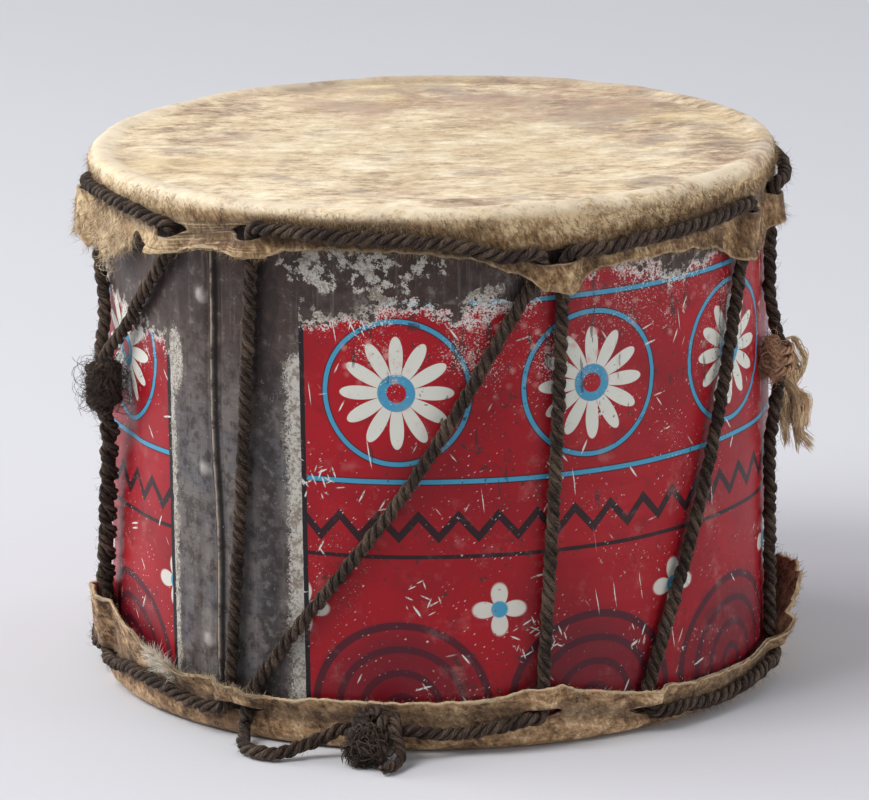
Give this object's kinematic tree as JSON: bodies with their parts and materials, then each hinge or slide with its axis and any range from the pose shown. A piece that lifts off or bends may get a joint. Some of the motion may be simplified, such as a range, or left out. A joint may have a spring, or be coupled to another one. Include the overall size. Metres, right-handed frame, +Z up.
{
  "type": "double-headed drum",
  "caption": "Cylindrical drum made from a food tin, a rawhide head at each end drawn tight by zigzag lacing cord, with a knotted slack end on the floor and a hanging jute tassel.",
  "frame": {"origin": "middle of the lower head's flat underside, on the surface that the drum stands on", "axes": "+Z up along the drum's axis, -Y towards the front that the picture shows, +X to its right"},
  "size_m": [0.1686, 0.1784, 0.1236],
  "materials": {
    "painted_tin": "worn gloss paint over tin, bare at the seam",
    "bare_tin": "dull tarnished tin",
    "top_rawhide": "stiff dry rawhide with short hair",
    "bottom_rawhide": "stiff stained rawhide with short hair",
    "twine": "coarse fuzzy three-strand twine",
    "jute": "loose jute fibre"
  },
  "bodies": {
    "drum": {"can_shell": "painted_tin", "top_end_ring": "bare_tin", "bottom_end_ring": "bare_tin", "top_head": "top_rawhide", "bottom_head": "bottom_rawhide", "lacing_cord": "twine", "slack_loop": "twine", "cord_tie": "twine", "front_knot": "twine", "jute_tie": "jute"},
    "tassel": {"jute_tassel": "jute"}
  },
  "joints": [
    {"name": "tassel_swing", "type": "hinge", "parent": "drum", "child": "tassel", "pos_m": [0.07804, -0.01362, 0.07585], "axis": [-0.2448, -0.9696, 0], "range_deg": [0, 75]}
  ]
}
